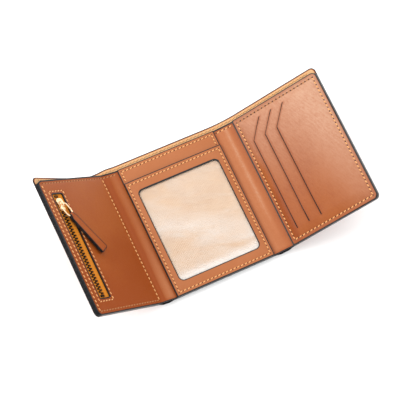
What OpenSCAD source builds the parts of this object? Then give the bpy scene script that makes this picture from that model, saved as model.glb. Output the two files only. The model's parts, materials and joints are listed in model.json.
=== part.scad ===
// Trifold wallet, lying open on its back with both wings raised.
// Millimetres, +Z up. The origin is the centre of the centre panel's back face.
// +X points to the card wing and +Y to the mouth of the bill compartment.
// Every sheet is drawn as if the wallet were spread out flat, then turned up at its fold lines.

/* [Overall] */
// Height of the outer leather, from the bottom edge to the mouth of the bill compartment
shell_h = 115; // [112:1:125]
// How far the inner panels stop below the top edge of the outer leather
mouth_step = 5; // [3:0.5:8]
// Radius of the four outer corners
corner_r = 4; // [2:0.5:8]

/* [Widths] */
// Width of the raised centre panel
centre_w = 83; // [82:1:92]
// Distance between the two fold lines on the card side
right_fold_w = 14.5; // [14:0.5:18]
// Distance between the two fold lines on the coin side
left_fold_w = 13.5; // [13:0.5:17]
// Width of the card panel on the right wing
card_wing_w = 77.5; // [70:0.5:78]
// Width of the left wing, from its fold line to its free edge
coin_wing_w = 76.5; // [70:0.5:78]
// Distance from a raised panel's edge to the fold line beside it
fold_margin = 1; // [0.8:0.1:1.5]

/* [Pose at rest] */
// Turn at each of the two folds on the card side, in degrees
right_turn = 17; // [0:1:40]
// Turn at each of the two folds on the coin side, in degrees
left_turn = 22; // [0:1:40]

/* [Sheet thicknesses] */
// Thickness of the outer leather and of the inner leather
leather_t = 1; // [0.9:0.05:1.1]
// Thickness of the twill lining of the bill compartment
lining_t = 0.25; // [0.2:0.05:0.3]
// Thickness of the pocket cloths
cloth_t = 0.2; // [0.15:0.05:0.25]
// Thickness of the clear window film
film_t = 0.25; // [0.2:0.05:0.3]

/* [Window] */
// Distance from the top edge of the centre panel down to the mouth of the window pocket
window_mouth_drop = 12.5; // [10:0.5:15]
// Width of the window
window_w = 68; // [60:0.5:70]
// Height of the window
window_h = 77.5; // [70:0.5:80]
// Leather left below the window
window_foot = 10; // [8:0.5:11]
// Radius of the window's corners
window_r = 4; // [2:0.5:6]

/* [Card slits] */
// Distance from the card panel's left edge to the first slit
slit_first = 10; // [9:0.5:12]
// Distance between slits
slit_pitch = 10.9; // [10:0.1:12]
// Distance from the bottom edge to the slits' lower ends
slit_foot = 10.2; // [9:0.1:12]
// Length of the slits' straight run
slit_run = 76.3; // [72:0.1:77]
// How far the bent top of a slit goes sideways
slit_bend_x = 12.4; // [9:0.1:13]
// How far the bent top of a slit goes up
slit_bend_y = 15; // [12:0.5:16]
// Width of the cut
slit_cut = 0.6; // [0.4:0.1:0.8]

/* [Zip] */
// Distance from the left wing's fold line to the near edge of the zip opening
zip_inset = 55.5; // [50:0.5:56]
// Width of the zip opening
zip_w = 11.5; // [11:0.5:12]
// How far the line of teeth lies beside the middle of the opening, towards the free edge
zip_offset = 1.5; // [0:0.25:1.5]
// Height of the zip opening
zip_h = 85.5; // [75:0.5:88]
// Leather left below the zip opening
zip_foot = 12.5; // [11:0.5:13]
// Width of each zip tape
tape_w = 10.6; // [9:0.1:10.8]
// Pitch of the zip teeth along each tape
tooth_pitch = 2; // [1.6:0.1:2.4]
// Distance from the top of the zip opening to the middle of the slider at rest
slider_drop = 9; // [8.5:0.5:12]

/* [Pull] */
// Turn of the hanging pull away from the zip's line, in degrees
pull_turn = 28; // [0:1:30]
// Diameter of the ring's wire
wire_d = 1.3; // [1.2:0.05:1.4]
// Outer width of the ring
ring_w = 8.6; // [8:0.1:9]
// Outer length of the ring
ring_l = 11.5; // [10.5:0.5:13]
// Length of the leather tab, from its eye to its end
tab_l = 36; // [30:1:38]
// Width of the tab's free end
tab_w = 8.8; // [7:0.1:9]
// Thickness of the tab
tab_t = 2.4; // [1.6:0.1:2.4]

/* [Hidden] */

$fn = 32;
eps = 0.01;

// Half the gap between two sheets that meet at a fold line
fold_gap = 0.15;
// Overlap of the squares and circles that make up an outline
lap = 1;

// Heights of the layers, counted from the back face of the outer leather
lining_z = leather_t;
coin_bag_back_z = 1.6;
slider_foot_z = 1.95;
teeth_z = 2.55;
teeth_t = 1.3;
tape_z = 3;
tape_t = 0.35;
inner_z = tape_z + tape_t;
face_z = inner_z + leather_t;

// Raised pieces on the inner face
centre_panel_t = 1;
id_gap = 0.2;
id_cloth_z = face_z + centre_panel_t;
film_z = id_cloth_z + cloth_t + id_gap;
frame_z = film_z + film_t;
frame_t = 0.9;
pocket_step = 0.45;
pocket_lift = 0.15;
card_panel_z = face_z + 3 * pocket_step + pocket_lift;
card_panel_t = 1;

// Edges of the sheets when spread out flat
y_bottom = -shell_h / 2;
y_shell_top = shell_h / 2;
y_inner_top = y_shell_top - mouth_step;
x_right_1 = centre_w / 2 + fold_margin;
x_right_2 = x_right_1 + right_fold_w;
x_card = x_right_2 + fold_margin;
x_right_end = x_card + card_wing_w;
x_left_1 = -x_right_1;
x_left_2 = x_left_1 - left_fold_w;
x_left_end = x_left_2 - coin_wing_w;
lining_inset = 1.2;

// Zip
opening_x = x_left_2 - zip_inset - zip_w / 2;
zip_x = opening_x - zip_offset;
zip_y0 = y_bottom + zip_foot;
zip_y1 = zip_y0 + zip_h;
zip_r = 1;
chain_inset = 3;
chain_y0 = zip_y0 + chain_inset;
chain_y1 = zip_y1 - chain_inset;
teeth_gap = 0.9;
tooth_reach = 1.9;
tooth_w = 1.1;
bead_inset = 0.4;
bead_drop = 0.3;
tape_x = teeth_gap / 2 + 0.5;
tape_overrun = 4;
stop_h = 1.8;
stop_gap = 0.3;
top_stop_w = 1.4;
top_stop_x = teeth_gap / 2 + 0.2;
bottom_stop_w = 4.4;
slider_y = zip_y1 - slider_drop;
slider_w = 7.4;
slider_l = 10.5;
slider_corner = 2;
slider_clear = 0.6;
slider_foot_t = 0.45;
slider_top_z = teeth_z + teeth_t + 0.15;
slider_top_t = 0.9;
post_w = 0.5;
post_l = 2.4;

// Ring, bridge and tab
wire_r = wire_d / 2;
bridge_w = 1.6;
bridge_t = 0.7;
bridge_gap = 0.25;
bridge_l = 6.4;
bridge_post = 1;
ring_z = slider_top_z + slider_top_t + bridge_gap + wire_r;
ring_corner = 2.7;
ring_back = 0.4;
ring_y = slider_y - ring_back;
ring_run = ring_l - wire_d;
eye_w = 2.6;
eye_r = 1.15;
eye_bore_r = 0.75;
eye_l = 3;
neck_y = 2.4;
tab_neck_w = 5.4;
tab_corner = 1.2;

// Pocket cloths and film
bag_margin = 3;
bag_slot_end = 1;
bag_gap = 0.05;
window_cloth_margin = 2;
window_film_margin = 3;
pocket_margin = 3;
pocket_foot = 4;

// Colours
leather_tan = [0.72, 0.42, 0.24];
leather_pale = [0.82, 0.58, 0.43];
lining_tan = [0.9, 0.68, 0.45];
cloth_beige = [0.92, 0.85, 0.72];
film_clear = [0.88, 0.9, 0.92, 0.5];
tape_orange = [0.92, 0.55, 0.1];
teeth_brown = [0.5, 0.36, 0.16];
metal_gold = [0.85, 0.7, 0.35];

// Outline of a sheet from x0 to x1 and y0 to y1, with radius rl at its left corners and rr at its right ones
module outline(x0, x1, y0, y1, rl = 0, rr = 0) {
    translate([x0 + rl, y0])
        square([x1 - rr - x0 - rl, y1 - y0]);
    if (rl > 0) {
        translate([x0, y0 + rl])
            square([rl + lap, y1 - y0 - 2 * rl]);
        for (y = [y0 + rl, y1 - rl])
            translate([x0 + rl, y])
                circle(rl);
    }
    if (rr > 0) {
        translate([x1 - rr - lap, y0 + rr])
            square([rr + lap, y1 - y0 - 2 * rr]);
        for (y = [y0 + rr, y1 - rr])
            translate([x1 - rr, y])
                circle(rr);
    }
}

// A flat sheet of thickness t with its underside at z
module sheet(x0, x1, y0, y1, z, t, rl = 0, rr = 0) {
    translate([0, 0, z])
        linear_extrude(t)
            outline(x0, x1, y0, y1, rl, rr);
}

// Turns what lies beyond the fold line at x about the inner face, upwards by a degrees towards the middle
module fold_at(x, a) {
    translate([x, 0, face_z])
        rotate([0, a, 0])
            translate([-x, 0, -face_z])
                children();
}

module on_right_fold() {
    fold_at(x_right_1, -right_turn)
        children();
}

module on_right_wing() {
    on_right_fold()
        fold_at(x_right_2, -right_turn)
            children();
}

module on_left_fold() {
    fold_at(x_left_1, left_turn)
        children();
}

module on_left_wing() {
    on_left_fold()
        fold_at(x_left_2, left_turn)
            children();
}

// The three full-width sheets, each cut into one stretch per rigid section
module shell_part(x0, x1, rl = 0, rr = 0) {
    color(leather_tan)
        sheet(x0, x1, y_bottom, y_shell_top, 0, leather_t, rl, rr);
}

module lining_part(x0, x1) {
    color(lining_tan)
        sheet(x0, x1, y_bottom + lining_inset, y_shell_top - lining_inset, lining_z, lining_t);
}

module inner_part(x0, x1, rl = 0, rr = 0) {
    color(leather_tan)
        sheet(x0, x1, y_bottom, y_inner_top, inner_z, leather_t, rl, rr);
}

module shell_centre() {
    shell_part(x_left_1 + fold_gap, x_right_1 - fold_gap);
}

module bill_lining_centre() {
    lining_part(x_left_1 + fold_gap, x_right_1 - fold_gap);
}

module inner_wall_centre() {
    inner_part(x_left_1 + fold_gap, x_right_1 - fold_gap);
}

module shell_left_fold() {
    on_left_fold()
        shell_part(x_left_2 + fold_gap, x_left_1 - fold_gap);
}

module bill_lining_left_fold() {
    on_left_fold()
        lining_part(x_left_2 + fold_gap, x_left_1 - fold_gap);
}

module inner_wall_left_fold() {
    on_left_fold()
        inner_part(x_left_2 + fold_gap, x_left_1 - fold_gap);
}

module shell_right_fold() {
    on_right_fold()
        shell_part(x_right_1 + fold_gap, x_right_2 - fold_gap);
}

module bill_lining_right_fold() {
    on_right_fold()
        lining_part(x_right_1 + fold_gap, x_right_2 - fold_gap);
}

module inner_wall_right_fold() {
    on_right_fold()
        inner_part(x_right_1 + fold_gap, x_right_2 - fold_gap);
}

module shell_left_wing() {
    on_left_wing()
        shell_part(x_left_end, x_left_2 - fold_gap, rl = corner_r);
}

module bill_lining_left_wing() {
    on_left_wing()
        lining_part(x_left_end + lining_inset, x_left_2 - fold_gap);
}

module shell_right_wing() {
    on_right_wing()
        shell_part(x_right_2 + fold_gap, x_right_end, rr = corner_r);
}

module bill_lining_right_wing() {
    on_right_wing()
        lining_part(x_right_2 + fold_gap, x_right_end - lining_inset);
}

module inner_wall_right_wing() {
    on_right_wing()
        inner_part(x_right_2 + fold_gap, x_right_end, rr = corner_r);
}

// Centre: a leather panel, and on it the pocket with the clear window
module centre_card_panel() {
    color(leather_tan)
        sheet(-centre_w / 2, centre_w / 2, y_bottom, y_inner_top, face_z, centre_panel_t);
}

// A sheet behind the window's frame, smaller than it by a margin all round
module window_sheet(margin, z, t) {
    half = centre_w / 2 - margin;
    sheet(-half, half, y_bottom + margin, y_inner_top - window_mouth_drop - margin, z, t);
}

module id_backing_cloth() {
    color(cloth_beige)
        window_sheet(window_cloth_margin, id_cloth_z, cloth_t);
}

module id_window_film() {
    color(film_clear)
        window_sheet(window_film_margin, film_z, film_t);
}

module id_window_frame() {
    color(leather_tan)
        translate([0, 0, frame_z])
            linear_extrude(frame_t)
                difference() {
                    outline(-centre_w / 2, centre_w / 2, y_bottom, y_inner_top - window_mouth_drop);
                    outline(-window_w / 2, window_w / 2, y_bottom + window_foot,
                            y_bottom + window_foot + window_h, window_r, window_r);
                }
}

// Left wing: the inner leather with the zip opening, and the coin bag behind it
module coin_panel() {
    color(leather_tan)
        on_left_wing()
            translate([0, 0, inner_z])
                linear_extrude(leather_t)
                    difference() {
                        outline(x_left_end, x_left_2 - fold_gap, y_bottom, y_inner_top, rl = corner_r);
                        outline(opening_x - zip_w / 2, opening_x + zip_w / 2, zip_y0, zip_y1, zip_r, zip_r);
                    }
}

module coin_bag_back() {
    color(cloth_beige)
        on_left_wing()
            sheet(x_left_end + bag_margin, x_left_2 - bag_margin, y_bottom + bag_margin,
                  y_inner_top - bag_margin, coin_bag_back_z, cloth_t);
}

// The front cloth of the coin bag stops short of the slider's path
module coin_bag_front() {
    slot = slider_w / 2 + slider_clear;
    color(cloth_beige)
        on_left_wing()
            translate([0, 0, tape_z - cloth_t - bag_gap])
                linear_extrude(cloth_t)
                    difference() {
                        outline(x_left_end + bag_margin, x_left_2 - bag_margin,
                                y_bottom + bag_margin, y_inner_top - bag_margin);
                        outline(zip_x - slot, zip_x + slot, zip_y0 - bag_slot_end, zip_y1 + bag_slot_end);
                    }
}

// One zip tape; side is -1 for the tape by the free edge and 1 for the other
module zip_tape(side) {
    color(tape_orange)
        on_left_wing()
            translate([zip_x + (side > 0 ? tape_x : -tape_x - tape_w), zip_y0 - tape_overrun, tape_z])
                cube([tape_w, zip_h + 2 * tape_overrun, tape_t]);
}

module zip_tape_outer() {
    zip_tape(-1);
}

module zip_tape_inner() {
    zip_tape(1);
}

// One row of teeth on a bead along the edge of its tape
module zip_teeth(side) {
    count = floor((chain_y1 - chain_y0 - tooth_w) / tooth_pitch);
    shift = side > 0 ? 0 : tooth_pitch / 2;
    row_x = side > 0 ? teeth_gap / 2 : -teeth_gap / 2 - tooth_reach;
    bead_x = side > 0 ? row_x + bead_inset : row_x;
    color(teeth_brown)
        on_left_wing()
            translate([zip_x, chain_y0, teeth_z]) {
                for (i = [0:count - 1])
                    translate([row_x, i * tooth_pitch + shift, 0])
                        cube([tooth_reach, tooth_w, teeth_t]);
                translate([bead_x, 0, bead_drop])
                    cube([tooth_reach - bead_inset, chain_y1 - chain_y0, teeth_t - 2 * bead_drop]);
            }
}

module zip_teeth_outer() {
    zip_teeth(-1);
}

module zip_teeth_inner() {
    zip_teeth(1);
}

// Metal stops crimped on the tapes above the slider and across both below the last teeth
module zip_top_stop() {
    color(metal_gold)
        on_left_wing()
            for (side = [-1, 1])
                translate([zip_x + (side > 0 ? top_stop_x : -top_stop_x - top_stop_w),
                           chain_y1 + stop_gap, teeth_z])
                    cube([top_stop_w, stop_h, teeth_t]);
}

module zip_bottom_stop() {
    color(metal_gold)
        on_left_wing()
            translate([zip_x - bottom_stop_w / 2, chain_y0 - stop_h - stop_gap, teeth_z])
                cube([bottom_stop_w, stop_h, teeth_t]);
}

// Slider: two plates joined by a post that runs in the gap between the teeth, and a bridge for the ring
module zip_slider() {
    top = slider_top_z + slider_top_t;
    bar_z = top + wire_d + 2 * bridge_gap;
    color(metal_gold)
        on_left_wing()
            translate([zip_x, slider_y, 0]) {
                for (z = [slider_foot_z, slider_top_z])
                    translate([0, 0, z])
                        linear_extrude(z == slider_top_z ? slider_top_t : slider_foot_t)
                            outline(-slider_w / 2, slider_w / 2, -slider_l / 2, slider_l / 2,
                                    slider_corner, slider_corner);
                translate([-post_w / 2, slider_l / 2 - post_l, slider_foot_z])
                    cube([post_w, post_l, top - slider_foot_z]);
                for (y = [-bridge_l / 2, bridge_l / 2 - bridge_post])
                    translate([-bridge_w / 2, y, top - eps])
                        cube([bridge_w, bridge_post, bar_z - top + 2 * eps]);
                translate([-bridge_w / 2, -bridge_l / 2, bar_z])
                    cube([bridge_w, bridge_l, bridge_t]);
            }
}

// Places the ring and tab: they hang from the wire inside the bridge, turned by pull_turn
module on_pull() {
    on_left_wing()
        translate([zip_x, ring_y, ring_z])
            rotate([0, 0, pull_turn])
                children();
}

// Rounded ring of round wire whose upper limb runs through the bridge
module pull_ring() {
    half = ring_w / 2 - wire_r;
    color(metal_gold)
        on_pull() {
            for (y = [0, -ring_run])
                translate([-half + ring_corner, y, 0])
                    rotate([0, 90, 0])
                        cylinder(r = wire_r, h = 2 * (half - ring_corner));
            for (x = [-half, half])
                translate([x, -ring_corner, 0])
                    rotate([90, 0, 0])
                        cylinder(r = wire_r, h = ring_run - 2 * ring_corner);
            for (sx = [-1, 1], sy = [0, 1])
                translate([sx * (half - ring_corner),
                           sy == 0 ? -ring_corner : -ring_run + ring_corner, 0])
                    intersection() {
                        rotate_extrude()
                            translate([ring_corner, 0])
                                circle(wire_r);
                        translate([sx > 0 ? 0 : -2 * ring_corner,
                                   sy == 0 ? 0 : -2 * ring_corner, -wire_d])
                            cube([2 * ring_corner, 2 * ring_corner, 2 * wire_d]);
                    }
        }
}

// Leather tab: a narrow eye round the ring's lower limb, widening to the free end
module pull_tab() {
    color(leather_tan)
        on_pull()
            translate([0, -ring_run, 0]) {
                difference() {
                    union() {
                        translate([-eye_w / 2, 0, 0])
                            rotate([0, 90, 0])
                                cylinder(r = eye_r, h = eye_w);
                        translate([-eye_w / 2, -eye_l, -tab_t / 2])
                            cube([eye_w, eye_l, tab_t]);
                    }
                    translate([-eye_w, 0, 0])
                        rotate([0, 90, 0])
                            cylinder(r = eye_bore_r, h = 2 * eye_w);
                }
                translate([0, 0, -tab_t / 2])
                    linear_extrude(tab_t) {
                        polygon([[-tab_neck_w / 2, -neck_y], [tab_neck_w / 2, -neck_y],
                                 [tab_w / 2, -tab_l + tab_corner], [-tab_w / 2, -tab_l + tab_corner]]);
                        translate([-tab_w / 2 + tab_corner, -tab_l])
                            square([tab_w - 2 * tab_corner, 2 * tab_corner]);
                        for (x = [-1, 1])
                            translate([x * (tab_w / 2 - tab_corner), -tab_l + tab_corner])
                                circle(tab_corner);
                    }
            }
}

// Right wing: pocket cloths behind the slits, and the slit leather over them
module card_pocket(i) {
    color(cloth_beige)
        on_right_wing()
            sheet(x_card + slit_first + (i - 1) * slit_pitch - pocket_margin, x_right_end - pocket_margin,
                  y_bottom + pocket_foot + i, y_inner_top - pocket_margin - i,
                  face_z + pocket_lift + (i - 1) * pocket_step, cloth_t);
}

module card_pocket_1() {
    card_pocket(1);
}

module card_pocket_2() {
    card_pocket(2);
}

module card_pocket_3() {
    card_pocket(3);
}

// One slit: a straight run along the fold, then a bend towards the free top corner
module slit(x) {
    bend_a = atan2(slit_bend_y, slit_bend_x);
    bend_l = norm([slit_bend_x, slit_bend_y]);
    translate([x - slit_cut / 2, y_bottom + slit_foot])
        square([slit_cut, slit_run]);
    translate([x, y_bottom + slit_foot + slit_run])
        rotate(bend_a)
            translate([-slit_cut / 2, -slit_cut / 2])
                square([bend_l, slit_cut]);
}

module card_panel() {
    color(leather_pale)
        on_right_wing()
            translate([0, 0, card_panel_z])
                linear_extrude(card_panel_t)
                    difference() {
                        outline(x_card, x_right_end, y_bottom, y_inner_top, rr = corner_r);
                        for (i = [0:2])
                            slit(x_card + slit_first + i * slit_pitch);
                    }
}

shell_centre();
bill_lining_centre();
inner_wall_centre();
centre_card_panel();
id_backing_cloth();
id_window_film();
id_window_frame();
shell_left_fold();
bill_lining_left_fold();
inner_wall_left_fold();
shell_right_fold();
bill_lining_right_fold();
inner_wall_right_fold();
shell_left_wing();
bill_lining_left_wing();
coin_bag_back();
coin_bag_front();
zip_tape_outer();
zip_tape_inner();
zip_teeth_outer();
zip_teeth_inner();
zip_top_stop();
zip_bottom_stop();
coin_panel();
shell_right_wing();
bill_lining_right_wing();
inner_wall_right_wing();
card_pocket_1();
card_pocket_2();
card_pocket_3();
card_panel();
zip_slider();
pull_ring();
pull_tab();
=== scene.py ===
"""An open trifold wallet: tan leather, a zipped coin pocket, a clear window and a panel of card slits.

Every sheet is made spread out flat, in millimetres, on the layout that the CAD nodes give, and is
then laid along the wallet's course, which turns up at the four fold lines.
"""
import json
import math

import bmesh
import bpy
import numpy as np
from mathutils import Matrix, Vector


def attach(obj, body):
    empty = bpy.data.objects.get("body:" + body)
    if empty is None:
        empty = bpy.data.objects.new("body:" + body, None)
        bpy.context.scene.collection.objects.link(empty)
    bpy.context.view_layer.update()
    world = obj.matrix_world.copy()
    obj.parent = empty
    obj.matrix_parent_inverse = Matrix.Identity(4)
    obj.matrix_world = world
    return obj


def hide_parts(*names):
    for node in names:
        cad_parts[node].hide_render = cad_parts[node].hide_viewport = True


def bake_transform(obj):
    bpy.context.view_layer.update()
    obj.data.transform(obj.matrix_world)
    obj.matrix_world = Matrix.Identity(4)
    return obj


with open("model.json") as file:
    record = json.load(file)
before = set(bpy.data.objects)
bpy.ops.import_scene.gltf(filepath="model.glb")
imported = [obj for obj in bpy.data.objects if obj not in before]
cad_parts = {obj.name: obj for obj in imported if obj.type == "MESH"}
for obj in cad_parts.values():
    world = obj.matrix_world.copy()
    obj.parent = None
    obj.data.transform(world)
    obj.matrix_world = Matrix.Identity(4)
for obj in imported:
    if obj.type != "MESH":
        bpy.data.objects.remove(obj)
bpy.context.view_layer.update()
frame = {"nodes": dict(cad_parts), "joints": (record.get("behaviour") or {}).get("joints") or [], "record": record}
MM = 0.001


# ---------------------------------------------------------------- layout

JOINTS = {joint["name"]: joint for joint in frame["joints"]}
BODY_OF = {node: body for body, nodes in frame["record"]["behaviour"]["bodies"].items() for node in nodes}
RIGHT, LEFT = 1, -1
SIDE_NAME = {RIGHT: "right", LEFT: "left"}
FACE = JOINTS["right_fold"]["pos_m"][2] / MM     # height of the inner leather's face
BEND = 5.0                                       # half the length over which a fold turns
COURSE_LENGTH, COURSE_STEP = 180.0, 0.05         # how far, and how finely, each side's course is worked out


def joint_point(name):
    """A joint's place at rest, in millimetres."""
    return Vector(JOINTS[name]["pos_m"]) / MM


class Course:
    """The way the inner face runs from the middle out to one side: its fold lines and its turns."""

    def __init__(self, side):
        first = joint_point(SIDE_NAME[side] + "_fold")
        second = joint_point(SIDE_NAME[side] + "_wing_fold")
        self.turn = -math.radians(JOINTS[SIDE_NAME[side] + "_fold"]["range_deg"][0])
        self.fold = abs(first.x)
        self.wing = self.fold + (second - first).length
        self.middle = (self.fold + self.wing) / 2
        self.second = second
        self.run = np.arange(0.0, COURSE_LENGTH, COURSE_STEP)
        self.angle = self.turn * (ease(self.run, self.fold - BEND, self.fold + BEND)
                                  + ease(self.run, self.wing - BEND, self.wing + BEND))
        self.out = np.concatenate([[0], np.cumsum(np.cos(self.angle[:-1]) * COURSE_STEP)])
        self.up = np.concatenate([[0], np.cumsum(np.sin(self.angle[:-1]) * COURSE_STEP)])


def ease(value, low, high):
    """0 below low and 1 above high, with a smooth rise between them."""
    t = np.clip((value - low) / (high - low), 0, 1)
    return t * t * (3 - 2 * t)


COURSES = {side: Course(side) for side in (RIGHT, LEFT)}


def lay(points):
    """Points of the flat layout, in millimetres, laid along the wallet's course. z counts from the back."""
    points = np.asarray(points, float).reshape(-1, 3)
    laid = np.empty_like(points)
    for side, course in COURSES.items():
        here = points[:, 0] * side >= 0
        run = np.abs(points[here, 0])
        depth = points[here, 2] - FACE
        angle = np.interp(run, course.run, course.angle)
        laid[here, 0] = side * (np.interp(run, course.run, course.out) - depth * np.sin(angle))
        laid[here, 1] = points[here, 1]
        laid[here, 2] = FACE + np.interp(run, course.run, course.up) + depth * np.cos(angle)
    return laid


def flat_box(node):
    """(x0, x1, y0, y1, z0, z1) of a CAD node in the flat layout, in millimetres."""
    points = np.array([v.co for v in frame["nodes"][node].data.vertices]) / MM
    body = BODY_OF[node]
    if body != "centre":
        side = RIGHT if body.startswith("right") else LEFT
        course = COURSES[side]
        pivots = [(Vector((side * course.fold, 0, FACE)), course.fold)]
        if not body.endswith("fold"):
            pivots.append((course.second, course.wing))
        pivot, run = pivots[-1]
        turn = course.turn * len(pivots)
        x, z = side * (points[:, 0] - pivot.x), points[:, 2] - pivot.z
        points[:, 0] = side * (run + x * math.cos(turn) + z * math.sin(turn))
        points[:, 2] = FACE - x * math.sin(turn) + z * math.cos(turn)
    low, high = points.min(0), points.max(0)
    return low[0], high[0], low[1], high[1], low[2], high[2]


SHELL_LEFT = flat_box("shell_left_wing")
SHELL_RIGHT = flat_box("shell_right_wing")
COIN = flat_box("coin_panel")
CENTRE = flat_box("centre_card_panel")
FRAME = flat_box("id_window_frame")
FILM = flat_box("id_window_film")
CARD = flat_box("card_panel")
TAPE_OUT = flat_box("zip_tape_outer")
TAPE_IN = flat_box("zip_tape_inner")
TEETH_OUT = flat_box("zip_teeth_outer")
TEETH_IN = flat_box("zip_teeth_inner")
SLIDER = flat_box("zip_slider")
X_LEFT, X_RIGHT = SHELL_LEFT[0], SHELL_RIGHT[1]
Y_FOOT, Y_SHELL, Y_INNER = SHELL_LEFT[2], SHELL_LEFT[3], COIN[3]
LEATHER_T = flat_box("shell_centre")[5]
CORNER = 4.0                 # radius of the wallet's corners
CUT_CORNER = 0.6             # radius where two cut edges of a panel meet
SEAM = 2.7                   # distance from an edge to its row of stitches
CARD_SEAM = 3.4              # the same on the card panel
ZIP_SEAM = SEAM * 0.9        # the same round the zip opening
FOLD_SEAM = 1.2              # from the left wing's fold line out to the seam beside it
WINDOW_MARGIN = 7.5          # leather beside the window
WINDOW_TOP = 10.0            # leather above and below the window
WINDOW_CORNER = 4.0
WINDOW = (CENTRE[0] + WINDOW_MARGIN, CENTRE[1] - WINDOW_MARGIN, Y_FOOT + WINDOW_TOP, FRAME[3] - WINDOW_TOP)
ZIP_X = (SLIDER[0] + SLIDER[1]) / 2
ZIP_LEFT, ZIP_RIGHT = 4.25, 7.25    # from the line of teeth to either side of the zip opening
ZIP_END = 4.0                # how far the tapes run past the opening
ZIP_CORNER = 1.0
ZIP_HOLE = (ZIP_X - ZIP_LEFT, ZIP_X + ZIP_RIGHT, TAPE_OUT[2] + ZIP_END, TAPE_OUT[3] - ZIP_END)
SLIT_FIRST, SLIT_PITCH = 10.0, 10.9     # from the panel's side to the first slit, and from slit to slit
SLITS = [CARD[0] + SLIT_FIRST + SLIT_PITCH * i for i in range(3)]
SLIT_FOOT = Y_FOOT + 10.2
SLIT_STRAIGHT, SLIT_CLIMB = 76.3, 15.0  # height of a slit's straight run and of its bent top
SLIT_BEND = SLIT_FOOT + SLIT_STRAIGHT
SLIT_TOP = SLIT_BEND + SLIT_CLIMB
SLIT_LEAN = 12.4 / SLIT_CLIMB           # how far the bent top leans for each millimetre that it climbs
SLIT_HALF = 0.20             # half the width of a slit


# ---------------------------------------------------------------- relief of the sheets

MOUTH_BOW = 5.4              # how far the outer leather bows away from the coin pocket, at most
UNDER_TAB = 0.06             # the most that the left wing may rise under the pull tab
CARD_SEAM_LIFT = 0.1         # how far the card panel's edge stays off the leather below it
FRAME_PRESSED = 0.58         # how far the window frame is pressed down at its seam


def swell(x, y):
    """The slow unevenness that handled leather has, in millimetres."""
    return (0.16 * np.sin(x / 13.0 + 1.1 * np.sin(y / 31.0)) * np.sin(y / 24.0 + 0.7)
            + 0.10 * np.sin(y / 11.0 + x / 19.0 + 2.0))


def inset(x, y, box, left=CORNER, right=CORNER):
    """Distance from a point in to the nearest edge of a box with rounded corners; below 0 outside it."""
    centre_x, centre_y = (box[0] + box[1]) / 2, (box[2] + box[3]) / 2
    radius = np.where(x < centre_x, left, right)
    over_x = np.abs(x - centre_x) - (box[1] - box[0]) / 2 + radius
    over_y = np.abs(y - centre_y) - (box[3] - box[2]) / 2 + radius
    outside = np.hypot(np.maximum(over_x, 0), np.maximum(over_y, 0))
    return radius - outside - np.minimum(np.maximum(over_x, over_y), 0)


def crease(distance, depth=0.16, width=0.55):
    """The dent that a row of stitches pulls into the leather, at that distance from it."""
    return -depth * np.exp(-(distance / width) ** 2)


def in_fold(x, start=-1.0):
    """1 between the fold lines of either side, 0 on the wings and the centre."""
    inside = np.zeros_like(x)
    for side, course in COURSES.items():
        run = x * side
        inside += (ease(run, course.fold + start, course.fold + start + 4)
                   * (1 - ease(run, course.wing - start - 4, course.wing - start)))
    return inside


def lining_relief(x, y):
    """The shell's side of the note pocket, bowed away from the coin pocket at its open mouth."""
    course = COURSES[LEFT]
    # t goes from 0 at the left fold to 1 by the wing's outer edge
    t = np.clip((-x - course.fold - 3) / (-X_LEFT - course.fold - 5), 0, 1)
    mouth = np.sin(math.pi * t ** 0.55) ** 1.15 * ease(t, 0, 0.16) * ease(y, -25, Y_SHELL)
    slide = (-1.2 * mouth - 0.5 * ease(t, 0.3, 0.95)) * ease(y, 20, Y_SHELL)
    return slide, -MOUTH_BOW * mouth + swell(x, y) * in_wing(x) * 0.5


def shell_relief(x, y):
    """The outer leather: the same bow, fuller at the folds and hanging a little at their foot."""
    slide, rise = lining_relief(x, y)
    hang = (1 - ease(y - Y_FOOT, 0, 16)) * in_fold(x, 0.0)
    return slide - 0.7 * hang, rise - 0.45 * in_fold(x, 1.0) - 0.3 * hang


def in_wing(x):
    """1 on both wings, 0 on the centre and the folds."""
    return sum(ease(x * side, course.wing - 4, course.wing + 6) for side, course in COURSES.items())


def inner_relief(x, y):
    """The inner leather: nearly flat in the centre, slightly uneven on the wings and hollow by the seams."""
    relief = swell(x, y) * (0.2 + 0.8 * in_wing(x))
    on_left = x < -COURSES[LEFT].wing + 1
    relief += np.where(on_left, crease(np.minimum(x - X_LEFT, y - Y_FOOT) - SEAM), 0)
    relief += crease(Y_INNER - y - SEAM, 0.3) * (np.abs(x) > CENTRE[1])
    line = x + COURSES[LEFT].wing + FOLD_SEAM
    relief += crease(line) + crease(line - 2.2, 0.35, 1.3)
    zip_edge = -inset(x, y, ZIP_HOLE, ZIP_CORNER, ZIP_CORNER)
    lip = 0.12 * np.exp(-(zip_edge / 1.6) ** 2)
    relief += np.where(zip_edge > 0, crease(zip_edge - ZIP_SEAM) + lip, 0) * on_left
    return np.where(on_left, np.minimum(relief, UNDER_TAB), relief)


def centre_relief(x, y):
    """The centre panel: the inner leather's unevenness, softened, and a dent along its own seam."""
    return inner_relief(x, y) * 0.6 + crease(inset(x, y, CENTRE, 0.5, 0.5) - SEAM)


def frame_relief(x, y):
    """The window's frame is pressed onto the centre panel along its three sewn sides."""
    sides = np.minimum.reduce([x - FRAME[0], FRAME[1] - x, y - FRAME[2]])
    return -FRAME_PRESSED * (1 - ease(sides, 2, 8)) + crease(inset(x, y, FRAME, 0.5, 0.5) - SEAM)


def slit_offset(x, y, slit):
    """Distance across from a slit's line, above 0 on the side of its standing lip."""
    return x - slit - np.clip(y - SLIT_BEND, 0, SLIT_TOP - SLIT_BEND) * SLIT_LEAN


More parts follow.
